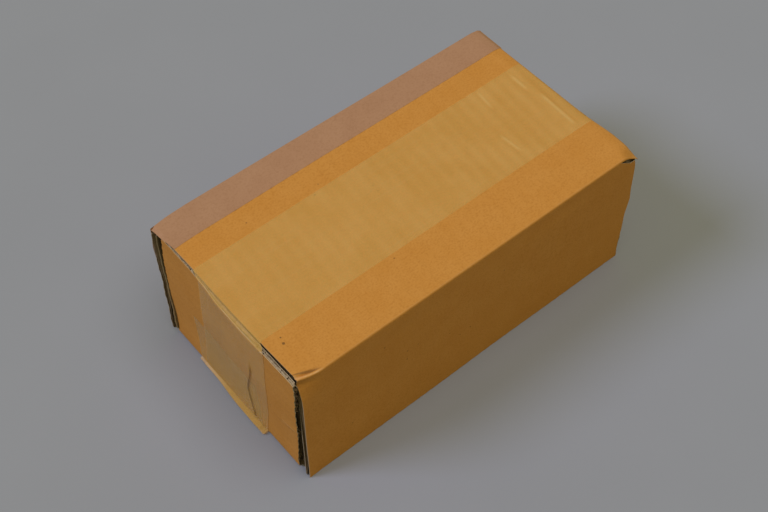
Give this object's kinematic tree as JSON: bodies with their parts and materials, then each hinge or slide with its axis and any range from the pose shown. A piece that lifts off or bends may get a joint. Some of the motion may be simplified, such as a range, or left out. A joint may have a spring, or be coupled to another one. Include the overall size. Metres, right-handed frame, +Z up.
{
  "type": "taped parcel",
  "caption": "Small brown corrugated carton, folded as a tray and a lid, joined along the back with gummed paper and closed round its length with clear packing tape",
  "frame": {"origin": "middle of the carton's foot print, on the lowest face of the tape that it lies on", "axes": "+X along the carton's length to its far end, -Y out of the long front side, +Z up"},
  "size_m": [0.1994, 0.1042, 0.0804],
  "materials": {
    "kraft_board": "matt brown kraft liner",
    "gummed_paper": "matt unbleached paper strip",
    "clear_tape": "clear glossy film over brown board"
  },
  "bodies": {
    "root": {"tray_board": "kraft_board", "lid_board": "kraft_board", "paper_tape": "gummed_paper", "sealing_tape": "clear_tape"}
  },
  "joints": []
}
